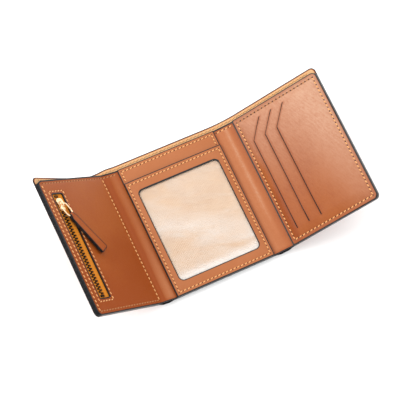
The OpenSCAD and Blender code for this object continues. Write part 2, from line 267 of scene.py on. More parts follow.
def pressed_down(x, y, height):
    """A sheet at that height on the right wing, pressed down to the leather along the card panel's seams."""
    down = (height - FACE) * (1 - CARD_SEAM_LIFT / (CARD[4] - FACE))
    return swell(x, y) - down * (1 - ease(inset(x, y, CARD, CUT_CORNER, CORNER), 2, 11))


def card_relief(x, y):
    """The card panel: pressed down at its seams, with the far lip of each slit standing proud."""
    edge = inset(x, y, CARD, CUT_CORNER, CORNER)
    relief = crease(edge - CARD_SEAM, 0.34, 0.8) + 0.9 * ease(edge, 3, 34) + pressed_down(x, y, CARD[4])
    along = ease(y, SLIT_FOOT - 1, SLIT_FOOT + 14) * (1 - ease(y, SLIT_TOP - 9, SLIT_TOP + 1))
    for slit in SLITS:
        offset = slit_offset(x, y, slit)
        lip = np.where(offset > 0, 0.55 * np.exp(-np.abs(offset) / 5), -0.3 * np.exp(-np.abs(offset) / 3))
        relief += lip * along
    return relief


def film_relief(x, y):
    """Soft film that has cockled in its frame."""
    return (0.10 * np.sin(x / 7.0 + y / 13.0) * np.sin(y / 9.0 - x / 21.0)
            + 0.06 * np.sin(x / 4.1 - y / 6.3 + 1.0))


def flat_relief(x, y):
    """No relief, for pieces that are already in their final shape."""
    return np.zeros_like(x)


# ---------------------------------------------------------------- shader maths

class Amount:
    """A number that changes over a surface; operators on it add Math nodes."""

    def __init__(self, finish, socket):
        self.finish, self.socket = finish, socket

    def sum(self, operation, *others):
        """This amount and the others, taken through a Math node."""
        node = self.finish.node("ShaderNodeMath", {"operation": operation},
                                dict(enumerate([self, *others])))
        return Amount(self.finish, node.outputs[0])

    def __add__(self, other):
        return self.sum("ADD", other)

    __radd__ = __add__

    def __mul__(self, other):
        return self.sum("MULTIPLY", other)

    __rmul__ = __mul__

    def __sub__(self, other):
        return self.sum("SUBTRACT", other)

    def __rsub__(self, other):
        return self * -1 + other

    def sine(self):
        return self.sum("SINE")

    def size(self):
        return self.sum("ABSOLUTE")

    def least(self, other):
        return self.sum("MINIMUM", other)

    def most(self, other):
        return self.sum("MAXIMUM", other)

    def rise(self, low, high):
        """0 below low and 1 above high, with a smooth rise between them."""
        node = self.finish.node("ShaderNodeMapRange", {"interpolation_type": "SMOOTHSTEP"},
                                {"Value": self, "From Min": low, "From Max": high})
        return Amount(self.finish, node.outputs[0])


class Finish:
    """A material under construction: a Principled surface and the nodes that feed it."""

    def __init__(self, name, **fixed):
        self.material = bpy.data.materials.new(name)
        self.material.use_nodes = True
        self.tree = self.material.node_tree
        self.tree.nodes.clear()
        output = self.node("ShaderNodeOutputMaterial")
        self.surface = self.node("ShaderNodeBsdfPrincipled")
        self.tree.links.new(self.surface.outputs[0], output.inputs[0])
        for socket, value in fixed.items():
            self.surface.inputs[socket.replace("_", " ").title().replace("Ior", "IOR")].default_value = value

    def node(self, kind, settings=None, inputs=None):
        """A node of that kind: its settings first, then its sockets' values or links."""
        node = self.tree.nodes.new(kind)
        for key, value in (settings or {}).items():
            setattr(node, key, value)
        for key, value in (inputs or {}).items():
            self.put(node.inputs[key], value)
        return node

    def put(self, socket, value):
        """Links an amount or another node's socket to this one, or sets its plain value."""
        if isinstance(value, Amount):
            value = value.socket
        if isinstance(value, bpy.types.NodeSocket):
            self.tree.links.new(value, socket)
        else:
            socket.default_value = value

    def feed(self, **values):
        """Values and links for the Principled surface's own sockets."""
        for socket, value in values.items():
            self.put(self.surface.inputs[socket.replace("_", " ").title()], value)

    def layout(self):
        """The piece's own flat layout, in millimetres."""
        return self.node("ShaderNodeUVMap", {"uv_map": "flat"}).outputs[0]

    def place(self):
        """Object coordinates, in millimetres."""
        where = self.node("ShaderNodeTexCoord").outputs["Object"]
        scaled = self.node("ShaderNodeVectorMath", {"operation": "SCALE"}, {0: where, "Scale": 1 / MM})
        return scaled.outputs[0]

    def axis(self, vector, name):
        """One coordinate of a vector."""
        return Amount(self, self.node("ShaderNodeSeparateXYZ", None, {0: vector}).outputs[name])

    def stretched(self, vector, scale, angle=0.0):
        """The vector scaled along axes that are turned by angle, for a pattern that runs one way."""
        size = tuple(1 / share for share in scale)
        return self.node("ShaderNodeMapping", {"vector_type": "TEXTURE"},
                         {"Vector": vector, "Rotation": (0, 0, angle), "Scale": size}).outputs[0]

    def noise(self, vector, size, detail=2.0, roughness=0.5, distortion=0.0):
        """Soft noise whose patches are about size millimetres wide."""
        node = self.node("ShaderNodeTexNoise", {"noise_dimensions": "3D"},
                         {"Vector": vector, "Scale": 1 / size, "Detail": detail,
                          "Roughness": roughness, "Distortion": distortion})
        return Amount(self, node.outputs[0])

    def pebbles(self, vector, size):
        """The rounded cells of a leather's grain, about size millimetres wide."""
        node = self.node("ShaderNodeTexVoronoi", {"feature": "SMOOTH_F1"},
                         {"Vector": vector, "Scale": 1 / size, "Smoothness": 0.6})
        return Amount(self, node.outputs["Distance"])

    def attribute(self, name):
        """A value that finished() leaves on the mesh: its distance from an edge, or how far wear and painted light
        pale or darken it.
        """
        return Amount(self, self.node("ShaderNodeAttribute", {"attribute_name": name}).outputs["Fac"])

    def mix(self, factor, low, high):
        """A colour from low to high as factor goes from 0 to 1."""
        low, high = ((*c, 1) if isinstance(c, tuple) and len(c) == 3 else c for c in (low, high))
        node = self.node("ShaderNodeMix", {"data_type": "RGBA"}, {0: factor, 6: low, 7: high})
        return node.outputs[2]

    def bump(self, height, distance):
        """Bumps as deep as distance, in millimetres, where height goes from 0 to 1."""
        values = {"Height": height, "Distance": distance * MM, "Strength": 1.0}
        node = self.node("ShaderNodeBump", None, values)
        self.put(self.surface.inputs["Normal"], node.outputs[0])


# ---------------------------------------------------------------- finishes

PAINT_RIM = 0.52, 0.86       # where the black paint on a cut edge ends
DARKENED_RIM = 0.9, 3.2       # where the darker leather beside the paint ends
RIM_BLACKS = (0.004, 0.004, 0.0045), (0.016, 0.016, 0.018)
EDGE_BLACKS = (0.003, 0.003, 0.0035), (0.011, 0.011, 0.012)
SHEEN_COLOUR = 0.48, 0.29, 0.19      # the pale colour of a painted sheen, where the leather catches the light
STREAK_TURN = math.radians(-66)


def leather(name, deep, mid, pale, brushed=0.0):
    """Smooth leather with a fine grain, slow changes of colour and black painted edges, paled for wear and painted
    sheen and darkened for painted shade by the attribute that finished() leaves for them.
    """
    finish = Finish(name, specular_ior_level=0.25)
    flat = finish.layout()
    broad = finish.noise(flat, 42, 2, 0.5, 0.4)
    mottle = finish.noise(flat, 5, 3, 0.6)
    streaks = finish.noise(finish.stretched(flat, (0.16, 0.75, 1), STREAK_TURN), 1.0, 3, 0.6)
    grain = finish.pebbles(finish.stretched(flat, (1, 1.25, 1), math.radians(20)), 0.8)
    pores = finish.noise(flat, 0.45, 2, 0.6)
    fine = mottle * 0.45 + streaks * (0.15 + brushed * 0.9) - grain * 0.25 + pores * 0.2
    wear_and_light = finish.attribute("wear_and_light")
    # below 0 the attribute darkens the leather towards deep: painted shade
    tone = broad * 0.7 + fine * 0.45 + wear_and_light.least(0.0) * 0.6
    colour = finish.mix(tone.rise(0.30, 0.75), deep, mid)
    # above 0 it pales the leather, for wear and a painted sheen; past 0.85 it turns to the sheen colour, a painted
    # highlight
    pale_and_sheen = wear_and_light * (0.75 - brushed * 0.63 + fine * (0.6 + brushed * 1.2))
    colour = finish.mix(pale_and_sheen.least(1.0).most(0.0), colour, pale)
    colour = finish.mix((pale_and_sheen - 0.85).rise(0.0, 0.8), colour, SHEEN_COLOUR)
    edge = finish.attribute("edge") + (finish.noise(flat, 2.5, 2) - 0.5) * 0.24
    dark = 1 - edge.rise(*PAINT_RIM)
    near = (1 - edge.rise(*DARKENED_RIM)) * 0.5
    colour = finish.mix(near, colour, deep)
    paint = finish.mix(finish.noise(flat, 3, 2).rise(0.35, 0.8), *RIM_BLACKS)
    colour = finish.mix(dark, colour, paint)
    rough = 0.36 + mottle * 0.16 + grain * 0.12
    finish.feed(base_color=colour, roughness=rough * (1 - dark) + dark * 0.38)
    height = grain * -0.5 + pores * 0.35 + streaks * (0.15 + brushed * 0.9) + mottle * 0.6
    finish.bump(height * (1 - dark * 0.85), 0.06 + 0.12 * brushed)
    return finish.material


def edge_paint(name):
    """Black paint, brushed on in coats that leave it slightly uneven."""
    finish = Finish(name, specular_ior_level=0.12)
    where = finish.place()
    lumps = finish.noise(where, 1.6, 3)
    finish.feed(base_color=finish.mix(lumps.rise(0.35, 0.8), *EDGE_BLACKS), roughness=0.2 + lumps * 0.2)
    finish.bump(lumps, 0.08)
    return finish.material


RIB_SHARE = 0.8              # a rib's pitch against that of the ridges
TWIST_PITCH = 0.32           # length of one turn of the thread's twist


def twill(name, thread, gap, pitch, slant, strength, rumple=0.0):
    """Twill cloth: slanting ridges, pitch millimetres apart, crossed by finer ribs, and rumpled if loose."""
    finish = Finish(name, specular_ior_level=0.2, sheen_weight=0.08, sheen_roughness=0.5)
    flat = finish.layout()
    turned = finish.stretched(flat, (1, 1, 1), math.radians(slant))
    wobble = finish.noise(flat, 4, 2) * 0.5
    ridge = ((finish.axis(turned, "X") + wobble) * (2 * math.pi / pitch)).sine() * 0.5 + 0.5
    rib = (finish.axis(flat, "Y") * (2 * math.pi / (pitch * RIB_SHARE))).sine() * 0.5 + 0.5
    slub = finish.noise(finish.stretched(flat, (0.2, 1.5, 1)), 1.2, 3)
    broad = finish.noise(flat, 22, 2)
    weave = ridge * 0.7 + rib * 0.3
    colour = finish.mix((weave * 0.45 + slub * 0.55 + broad * 0.3).rise(0.2, 0.95), gap, thread)
    finish.feed(base_color=colour, roughness=0.72 + slub * 0.18)
    rumples = finish.noise(finish.stretched(flat, (0.5, 1.5, 1), math.radians(-24)), 13, 1, 0.4, 0.8)
    finish.bump(weave + slub * 0.5 + rumples * rumple, strength)
    return finish.material


def metal(name, colour, tarnish, roughness, wear=0.25):
    """Plated metal, duller in cloudy patches and lightly scratched."""
    finish = Finish(name, metallic=1.0)
    where = finish.place()
    cloud = finish.noise(where, 3, 3)
    scratch = finish.noise(finish.stretched(where, (0.3, 4, 4), 0.4), 0.6, 2)
    finish.feed(base_color=finish.mix(cloud.rise(0.4, 0.75) * wear * 2, colour, tarnish),
                roughness=roughness + cloud * 0.10 + scratch * 0.08)
    finish.bump(scratch + cloud * 0.5, 0.012)
    return finish.material


def thread(name, colour, shade):
    """Waxed polyester thread with its twist."""
    finish = Finish(name, specular_ior_level=0.4)
    where = finish.place()
    turned = finish.stretched(where, (1, 1, 1), math.radians(35))
    twist = (finish.axis(turned, "X") * (2 * math.pi / TWIST_PITCH)).sine() * 0.5 + 0.5
    fibre = finish.noise(where, 0.2, 2)
    finish.feed(base_color=finish.mix(twist * 0.6 + fibre * 0.4, shade, colour), roughness=0.55 + fibre * 0.2)
    finish.bump(twist, 0.05)
    return finish.material


BAND_TURN = math.radians(-24.6)     # slant of the band of painted glare across the film
BAND_DROP, BAND_HALF = 8.2, 17.0    # how far below the middle it lies, and half its width


def clear_film(name):
    """Clear vinyl with a painted white glare that also clouds it: in soft patches, in a slanting band and along
    its foot.
    """
    finish = Finish(name, specular_ior_level=0.35)
    flat = finish.layout()
    patches = finish.noise(finish.stretched(flat, (0.55, 1.5, 1), math.radians(-14)), 17, 1, 0.4, 0.9)
    wrinkle = finish.noise(finish.stretched(flat, (0.4, 1.8, 1), math.radians(-24)), 7, 2, 0.5, 0.6)
    across = finish.axis(finish.stretched(flat, (1, 1, 1), BAND_TURN), "Y")
    glare_band = 1 - (across + patches * 14 + BAND_DROP).size().rise(0.0, BAND_HALF)
    foot = 1 - finish.axis(flat, "Y").rise(WINDOW[2] + 1.0, WINDOW[2] + 9.0)
    # painted glare: whitish and less clear in soft patches, in the slanting band and along the foot
    glare = (patches.rise(0.25, 0.8) * 0.3 + glare_band * 0.38 + foot * 0.8 + wrinkle.rise(0.50, 0.85) * 0.1).least(1.0)
    scuff = finish.noise(flat, 0.8, 3)
    finish.feed(base_color=finish.mix(glare, (0.78, 0.71, 0.63), (0.88, 0.86, 0.83)),
                alpha=0.03 + glare * 0.42, roughness=0.42 + scuff * 0.2)
    finish.bump(patches * 2 + wrinkle, 0.03)
    return finish.material


TAN = (0.24, 0.044, 0.002), (0.29, 0.069, 0.008), (0.36, 0.120, 0.042)
LEATHER_OUT = leather("outer_leather", *TAN)
LEATHER_IN = leather("inner_leather", *TAN)
# painted light: the same tan leather, lighter on the centre panel and window frame where more light falls
LEATHER_CENTRE_LIT = leather("centre_leather_lit", (0.32, 0.098, 0.028), (0.362, 0.123, 0.044), (0.42, 0.155, 0.065))
# the card leather's pale colour is that of its painted sheen
LEATHER_CARD = leather("card_leather", (0.225, 0.046, 0.005), (0.28, 0.072, 0.013), (0.40, 0.195, 0.115),
                       brushed=0.6)
LINING = twill("lining_twill", (0.65, 0.40, 0.20), (0.45, 0.225, 0.09), 0.9, 45, 0.10)
COTTON = twill("pocket_cotton", (0.58, 0.43, 0.305), (0.48, 0.33, 0.222), 0.6, 60, 0.05)
WINDOW_COTTON = twill("window_cotton", (0.59, 0.43, 0.305), (0.36, 0.225, 0.142), 1.3, 0, 0.05, rumple=9)
TAPE = twill("zip_tape_weave", (0.60, 0.20, 0.004), (0.36, 0.105, 0.002), 0.7, 90, 0.08)
GOLD = metal("gold_plate", (0.95, 0.72, 0.46), (0.70, 0.42, 0.20), 0.14)
TEETH = metal("teeth_brass", (0.05, 0.030, 0.016), (0.015, 0.010, 0.006), 0.30, 0.5)
THREAD = thread("seam_thread", (0.80, 0.42, 0.17), (0.55, 0.24, 0.08))
# painted shade: the same thread, darker, for seams whose thread sits in shade in its dents
SHADED_THREAD = thread("shaded_thread", (0.46, 0.20, 0.075), (0.30, 0.11, 0.03))
# painted shade: dark flat discs that stand for the shade inside needle holes
HOLE_SHADE = thread("needle_hole_shade", (0.075, 0.021, 0.006), (0.045, 0.012, 0.004))
VINYL = clear_film("clear_vinyl")
PAINT = edge_paint("black_edge_paint")


# ---------------------------------------------------------------- making and placing pieces

PARTS = {
    "centre": ("centre",), "left_wing": ("left_wing",), "right_wing": ("right_wing",),
    "zip_slider": ("zip_slider",), "pull_ring": ("pull_ring",), "pull_tab": ("pull_tab",),
    "left_inner": ("centre", "left_fold", LEFT), "left_outer": ("left_fold", "left_wing", LEFT),
    "right_inner": ("centre", "right_fold", RIGHT), "right_outer": ("right_fold", "right_wing", RIGHT),
}
FAR = 1e3                    # a limit well past the wallet's ends
QUARTERS = {
    "left_outer": (-FAR, -COURSES[LEFT].middle), "left_inner": (-COURSES[LEFT].middle, 0.0),
    "right_inner": (0.0, COURSES[RIGHT].middle), "right_outer": (COURSES[RIGHT].middle, FAR),
}
UNPAINTED = 9.0              # distance from an edge that leaves a piece without paint
TOUCHING = 1e-4              # points closer than this are one
CUT_SLACK = 1e-5             # points this close to a cut are on it


def all_of(bm):
    """Everything in a bmesh, as its cutting operators want it."""
    return bm.verts[:] + bm.edges[:] + bm.faces[:]


def finished(name, bm, part, material, relief=flat_relief, edges=None, wear_and_light=None, sharp=50):
    """Turns a flat bmesh into a laid piece that rides on its body, or keeps its laid place where it spans a fold.

    relief gives each point's rise, or its slide along y and its rise. edges gives its distance from an
    edge, and the one after it how far wear and painted sheen pale it, or painted shade darkens it.
    """
    bmesh.ops.remove_doubles(bm, verts=bm.verts, dist=TOUCHING)
    bmesh.ops.recalc_face_normals(bm, faces=bm.faces)
    for edge in bm.edges:
        edge.smooth = len(edge.link_faces) == 2 and edge.calc_face_angle(0.0) < math.radians(sharp)
    for face in bm.faces:
        face.smooth = True
    mesh = bpy.data.meshes.new(name)
    points = np.array([v.co for v in bm.verts], float).reshape(-1, 3)
    layout = bm.loops.layers.uv.new("flat")
    for face in bm.faces:
        for loop in face.loops:
            loop[layout].uv = loop.vert.co.xy
    bm.to_mesh(mesh)
    bm.free()
    x, y = points[:, 0], points[:, 1]
    for title, values in (("edge", UNPAINTED if edges is None else edges), ("wear_and_light", wear_and_light or 0.0)):
        amount = values(x, y) if callable(values) else np.full(len(x), values)
        mesh.attributes.new(title, "FLOAT", "POINT").data.foreach_set("value", amount.astype(np.float32))
    moved = relief(x, y)
    slide, rise = moved if isinstance(moved, tuple) else (0, moved)
    points[:, 1] += slide
    points[:, 2] += rise
    mesh.vertices.foreach_set("co", (lay(points) * MM).astype(np.float32).ravel())
    mesh.materials.append(material)
    mesh.update()
    piece = bpy.data.objects.new(name, mesh)
    bpy.context.scene.collection.objects.link(piece)
    tie(piece, part)
    return piece


def tie(piece, part):
    """Rides the piece on its body; a piece between two bodies only has its laid place baked into its mesh."""
    bodies = PARTS[part]
    if len(bodies) == 1:
        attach(piece, bodies[0])
        return
    course = COURSES[bodies[2]]
    line = course.fold if bodies[0] == "centre" else course.wing
    start, end = (lay([(bodies[2] * (line + offset), 0, FACE)])[0] * MM for offset in (-BEND, BEND))
    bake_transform(piece)


def rounded(bm, box, left, right, steps=6):
    """A flat face over a box, with corners rounded to the radii left and right."""
    made = bmesh.ops.create_grid(bm, x_segments=1, y_segments=1, size=0.5)["verts"]
    bmesh.ops.scale(bm, vec=(box[1] - box[0], box[3] - box[2], 1), verts=made)
    bmesh.ops.translate(bm, vec=((box[0] + box[1]) / 2, (box[2] + box[3]) / 2, 0), verts=made)
    middle = (box[0] + box[1]) / 2
    corners = [v for v in made if v.co.x < middle], [v for v in made if v.co.x > middle]
    for radius, chosen in zip((left, right), corners):
        bmesh.ops.bevel(bm, geom=chosen, offset=radius, offset_type="OFFSET", affect="VERTICES",
                        segments=steps, profile=0.5, material=-1)
    bm.faces.ensure_lookup_table()
    return bm.faces[-1]


def slice_flat(bm, place, normal, chosen=None):
    """Cuts faces along an upright plane, through place."""
    geometry = all_of(bm) if chosen is None else list(
        {*chosen, *(e for f in chosen for e in f.edges), *(v for f in chosen for v in f.verts)})
    bmesh.ops.bisect_plane(bm, geom=geometry, dist=CUT_SLACK, plane_co=(*place, 0), plane_no=(*normal, 0))


def trim(bm, place, normal):
    """Cuts away what lies past a plane, and closes the cut."""
    bmesh.ops.bisect_plane(bm, geom=all_of(bm), dist=CUT_SLACK, plane_co=place, plane_no=normal,
                           clear_outer=True)
    bmesh.ops.holes_fill(bm, edges=[e for e in bm.edges if e.is_boundary])


def thicken(bm, height):
    """Takes a flat sheet straight up by height, or down when it is below 0, and closes it."""
    raised = bmesh.ops.extrude_face_region(bm, geom=bm.faces[:])["geom"]
    moved = [g for g in raised if isinstance(g, bmesh.types.BMVert)]
    bmesh.ops.translate(bm, vec=(0, 0, height), verts=moved)
    bmesh.ops.recalc_face_normals(bm, faces=bm.faces)


def rims(bm):
    """The sharp level edges round the top and the foot of a thick sheet."""
    return [e for e in bm.edges if e.calc_face_angle(0.0) > math.radians(80)
            and abs(e.verts[0].co.z - e.verts[1].co.z) < 1e-6]


def soften(bm, edges, radius, segments):
    """Rounds edges off."""
    bmesh.ops.bevel(bm, geom=edges, offset=radius, offset_type="OFFSET", affect="EDGES", segments=segments,
                    profile=0.5, material=-1, clamp_overlap=True)


FOLD_STEP = 1.25             # spacing of the rows of faces across a fold
FOLD_CLEAR = 0.6             # how far the even rows stay off those of a fold


def grid_lines(low, high, step, dense):
    """Evenly spaced lines from low to high, with closer ones across each fold in dense."""
    lines = list(np.linspace(low, high, max(2, int(round((high - low) / step)) + 1))[1:-1])
    for line in dense:
        near = np.arange(line - BEND, line + BEND + 0.01, FOLD_STEP)
        lines = [value for value in lines if abs(value - line) > BEND + FOLD_CLEAR]
        lines += [value for value in near if low < value < high]
    return sorted(lines)


FOLD_LINES = [side * line for side, course in COURSES.items() for line in (course.fold, course.wing)]


def slice_rows(bm, box, rows, way=1):
    """Narrow rows of faces along the sides of a box: inside it, or outside it when way is -1."""
    for row in rows:
        for x in (box[0] + way * row, box[1] - way * row):
            slice_flat(bm, (x, 0), (1, 0))
        for y in (box[2] + way * row, box[3] - way * row):
            slice_flat(bm, (0, y), (0, 1))


SHEET_ROWS = 0.5, 1.1, 1.9, 2.6, 3.3    # rows of faces beside a leather sheet's edges
CLOTH_ROWS = (0.8,)


def sheet_mesh(box, left=CUT_CORNER, right=CUT_CORNER, hole=None, hole_radius=ZIP_CORNER, rows=SHEET_ROWS,
               step=4.5, slits=(), rounding=0.22):
    """A closed flat sheet that fills a box, with narrow rows of faces along its edges and a grid between.

    rounding is the share of its thickness that its edges are rounded by.
    """
    low, high = box[4:]
    bm = bmesh.new()
    outer = rounded(bm, box, left, right)
    if hole:
        inner = rounded(bm, hole, hole_radius, hole_radius)
        bmesh.ops.delete(bm, geom=[outer, inner], context="FACES_ONLY")
        bmesh.ops.bridge_loops(bm, edges=bm.edges)
        slice_rows(bm, hole, rows, -1)
    slice_rows(bm, box, rows)
    dense = [line for line in FOLD_LINES if box[0] < line < box[1]]
    for x in grid_lines(box[0], box[1], step, dense):
        slice_flat(bm, (x, 0), (1, 0))
    for y in grid_lines(box[2], box[3], step, ()):
        slice_flat(bm, (0, y), (0, 1))
    if slits:
        cut_slits(bm, slits)
    bmesh.ops.recalc_face_normals(bm, faces=bm.faces)
    if bm.faces[:][0].normal.z < 0:
        bmesh.ops.reverse_faces(bm, faces=bm.faces)
    bmesh.ops.translate(bm, vec=(0, 0, high), verts=bm.verts)
    thicken(bm, low - high)
    if rounding:
        soften(bm, rims(bm), rounding * (high - low), 2)
    return bm


SLIT_REACH = 7.0             # how far from a slit the faces are cut along its line


def cut_slits(bm, slits):
    """Cuts each slit's narrow opening out of a flat sheet: a straight run, then a bend."""
    for y in (SLIT_FOOT, SLIT_BEND, SLIT_TOP):
        slice_flat(bm, (0, y), (0, 1))

    def beside(face, slit, reach, low=SLIT_FOOT, high=SLIT_TOP):
        centre = face.calc_center_median()
        return low < centre.y < high and abs(slit_offset(centre.x, centre.y, slit)) < reach

    for slit in slits:
        for low, high, lean in ((SLIT_FOOT, SLIT_BEND, 0.0), (SLIT_BEND, SLIT_TOP, SLIT_LEAN)):
            for edge in (-SLIT_HALF, SLIT_HALF):
                near = [f for f in bm.faces if beside(f, slit, SLIT_REACH, low, high)]
                slice_flat(bm, (slit + edge, SLIT_BEND), (1, -lean), near)
    gone = [f for f in bm.faces if any(beside(f, slit, SLIT_HALF * 0.9) for slit in slits)]
    bmesh.ops.delete(bm, geom=gone, context="FACES")


def quarters(name, bm, material, relief, edges=None, wear_and_light=None):
    """Cuts a full-width sheet in four, at the middle of each fold and of the centre, and finishes them."""
    made = {}
    for part, (low, high) in QUARTERS.items():
        copy = bm.copy()
        for x, normal in ((low, -1), (high, 1)):
            if abs(x) < FAR:
                trim(copy, (x, 0, 0), (normal, 0, 0))
        made[part] = finished(f"{name}_{part}", copy, part, material, relief, edges, wear_and_light)
    bm.free()
    return made


def declare(piece, nodes):
    """Hides the CAD nodes that a piece stands for."""
    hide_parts(*nodes)
    return piece


def lay_cloth(name, box, node, part, material, relief=flat_relief, hole=None, rows=CLOTH_ROWS):
    """A cloth or tape that fills a box, standing for its CAD node, which is hidden."""
    piece = finished(name, sheet_mesh(box, hole=hole, rows=rows, rounding=0), part, material, relief)
    declare(piece, [node])
    width, length = box[1] - box[0], box[3] - box[2]
    area = None
    if hole:
        area = (width * length - (hole[1] - hole[0]) * (hole[3] - hole[2])) * MM * MM
    width * MM
    length * MM


# ---------------------------------------------------------------- stitching

PITCH = 3.3                  # length of one stitch and its gap
STITCH = 2.35                # length of thread that shows
THREAD_WIDTH = 0.95
THREAD_THICK = THREAD_WIDTH * 0.80
THREAD_RISE = 0.12           # from the leather to the middle of the thread
HOLE_DEPTH = 0.16


def straight(start, end):
    """Evenly spaced stitches along a line: (x, y, direction) of each."""
    start, end = Vector(start), Vector(end)
    count = max(1, round((end - start).length / PITCH))
    way = (end - start) / count
    return [(*(start + way * (i + 0.5)), math.atan2(way.y, way.x)) for i in range(count)]


def around(box, sides="left bottom right top"):
    """Stitches along the chosen sides of a box."""
    ends = {"left": ((box[0], box[3]), (box[0], box[2])), "bottom": ((box[0], box[2]), (box[1], box[2])),
            "right": ((box[1], box[2]), (box[1], box[3])), "top": ((box[1], box[3]), (box[0], box[3]))}
    return [stitch for side in sides.split() for stitch in straight(*ends[side])]


def shrunk(box, amount):
    """The box with each side moved in by amount."""
    return box[0] + amount, box[1] - amount, box[2] + amount, box[3] - amount


def sew(name, stitches, height, part, relief, slant=0.30, sunk=0.0, above=True, hole=0.32, yarn=None):
    """Short lengths of thread along a seam, slanted, with a flat dark disc before each: painted shade of a needle
    hole.

    height is that of the face it is sewn in, above tells whether that face looks up, and sunk is how far
    the thread is pulled into it.
    """
    threads, holes = bmesh.new(), bmesh.new()
    side = 1 if above else -1
    for x, y, way in stitches:
        turn = Matrix.Rotation(way + slant * side, 4, "Z")
        place = Matrix.Translation((x, y, height + side * (THREAD_RISE - sunk))) @ turn
        size = Matrix.Diagonal((STITCH / 2, THREAD_WIDTH / 2, THREAD_THICK / 2, 1))
        bmesh.ops.create_uvsphere(threads, u_segments=8, v_segments=6, radius=1.0,
                                  matrix=place @ size @ Matrix.Rotation(math.pi / 2, 4, "Y"))
        gap = PITCH / 2
        place = Matrix.Translation((x - gap * math.cos(way), y - gap * math.sin(way), height)) @ turn
        size = Matrix.Diagonal((hole, hole * 0.85, HOLE_DEPTH, 1))
        bmesh.ops.create_uvsphere(holes, u_segments=8, v_segments=4, radius=1.0, matrix=place @ size)
    for title, bm, material in ((name, threads, yarn or THREAD), (name + "_holes", holes, HOLE_SHADE)):
        finished(title, bm, part, material, relief, sharp=180)


def sew_across(name, low, high, y, height, relief, parts, **how):
    """A seam along the wallet's width, cut where the sheets below it are cut."""
    stitches = straight((low, y), (high, y))
    for part in parts:
        start, end = QUARTERS[part]
        sew(f"{name}_{part}", [s for s in stitches if start <= s[0] < end], height, part, relief, **how)


# ---------------------------------------------------------------- the leather goods

def wear_and_painted_light(x, y):
    """Paling and darkening of the leather: paler by the folds, over the right fold and low on the left fold;
    a painted sheen towards the top of the wings and a painted highlight streak along the right fold;
    painted shade beside the left wing's fold seam and low on the left wing.
    """
    # painted sheen: paler towards the top of the wings
    wear_and_light = 0.30 * ease(y, -30, 60) * in_wing(x)
    for side, course in COURSES.items():
        wear_and_light += 0.45 * np.exp(-((x * side - course.fold - 3.5) / 3.0) ** 2)
    off_wing = 1 - in_wing(x)
    run = x - COURSES[RIGHT].fold
    # painted highlight: a pale streak of sheen along the right fold
    sheen_streak = (0.4 * ease(y, -55, -10) + 0.3) * np.exp(-((run - 8.5) / 2.2) ** 2)
    wear_and_light += (0.5 * ease(run, -2, 1) + sheen_streak) * off_wing * (x > 0)
    wear_and_light += 0.55 * (1 - ease(y, -50, 5)) * off_wing * (x < -COURSES[LEFT].fold)
    # painted shade: a dark band beside the left wing's fold seam
    hollow = 1.3 * np.exp(-((x + COURSES[LEFT].wing - 2.4) / 2.2) ** 2)
    # painted shade: darker low on the left wing
    low = 0.35 * (1 - ease(y, Y_FOOT, 0.0)) * in_wing(x) * (x < 0)
    return np.clip(wear_and_light, 0, 1.8) - hollow - low


RIM_PROUD = 0.15             # how far the painted rim stands out past the leather
RIM_WIDTH = 0.75             # its width
RIM_ROUND = 1.05             # how far it is ground round, at most
RIM_END = 1.4                # where it stops below the inner leather's top edge
RIM_DROP = 0.08              # from the leather's face down to the rim's


def make_painted_edges():
    """The sewn edges, where all the layers are glued, ground round and painted black."""
    box = shrunk((X_LEFT, X_RIGHT, Y_FOOT, Y_INNER), -RIM_PROUD)
    frame_top = FRAME[5] - FRAME_PRESSED
    card_top = FACE + CARD_SEAM_LIFT + CARD[5] - CARD[4]
    spans = {"left_outer": (X_LEFT - 1, -COURSES[LEFT].wing - 0.8, FACE),
             "left_inner": (CENTRE[0], 0.0, frame_top), "right_inner": (0.0, CENTRE[1], frame_top),
             "right_outer": (CARD[0], X_RIGHT + 1, card_top)}
    for part, (low, high, top) in spans.items():
        bm = bmesh.new()
        inner = CORNER - RIM_WIDTH
        faces = [rounded(bm, box, CORNER, CORNER), rounded(bm, shrunk(box, RIM_WIDTH), inner, inner)]
        bmesh.ops.delete(bm, geom=faces, context="FACES_ONLY")
        bmesh.ops.bridge_loops(bm, edges=bm.edges)
        for x in grid_lines(box[0], box[1], 6.0, FOLD_LINES):
            slice_flat(bm, (x, 0), (1, 0))
        thicken(bm, top - RIM_DROP)
        outer = [e for e in rims(bm) if all(inset(v.co.x, v.co.y, box) < 0.4 for v in e.verts)]
        soften(bm, outer, RIM_ROUND, 4)
        trim(bm, (low, 0, 0), (-1, 0, 0))
        trim(bm, (high, 0, 0), (1, 0, 0))
        trim(bm, (0, Y_INNER - RIM_END, 0), (0, 1, 0))
        finished(f"painted_edge_{part}", bm, part, PAINT, sharp=60)


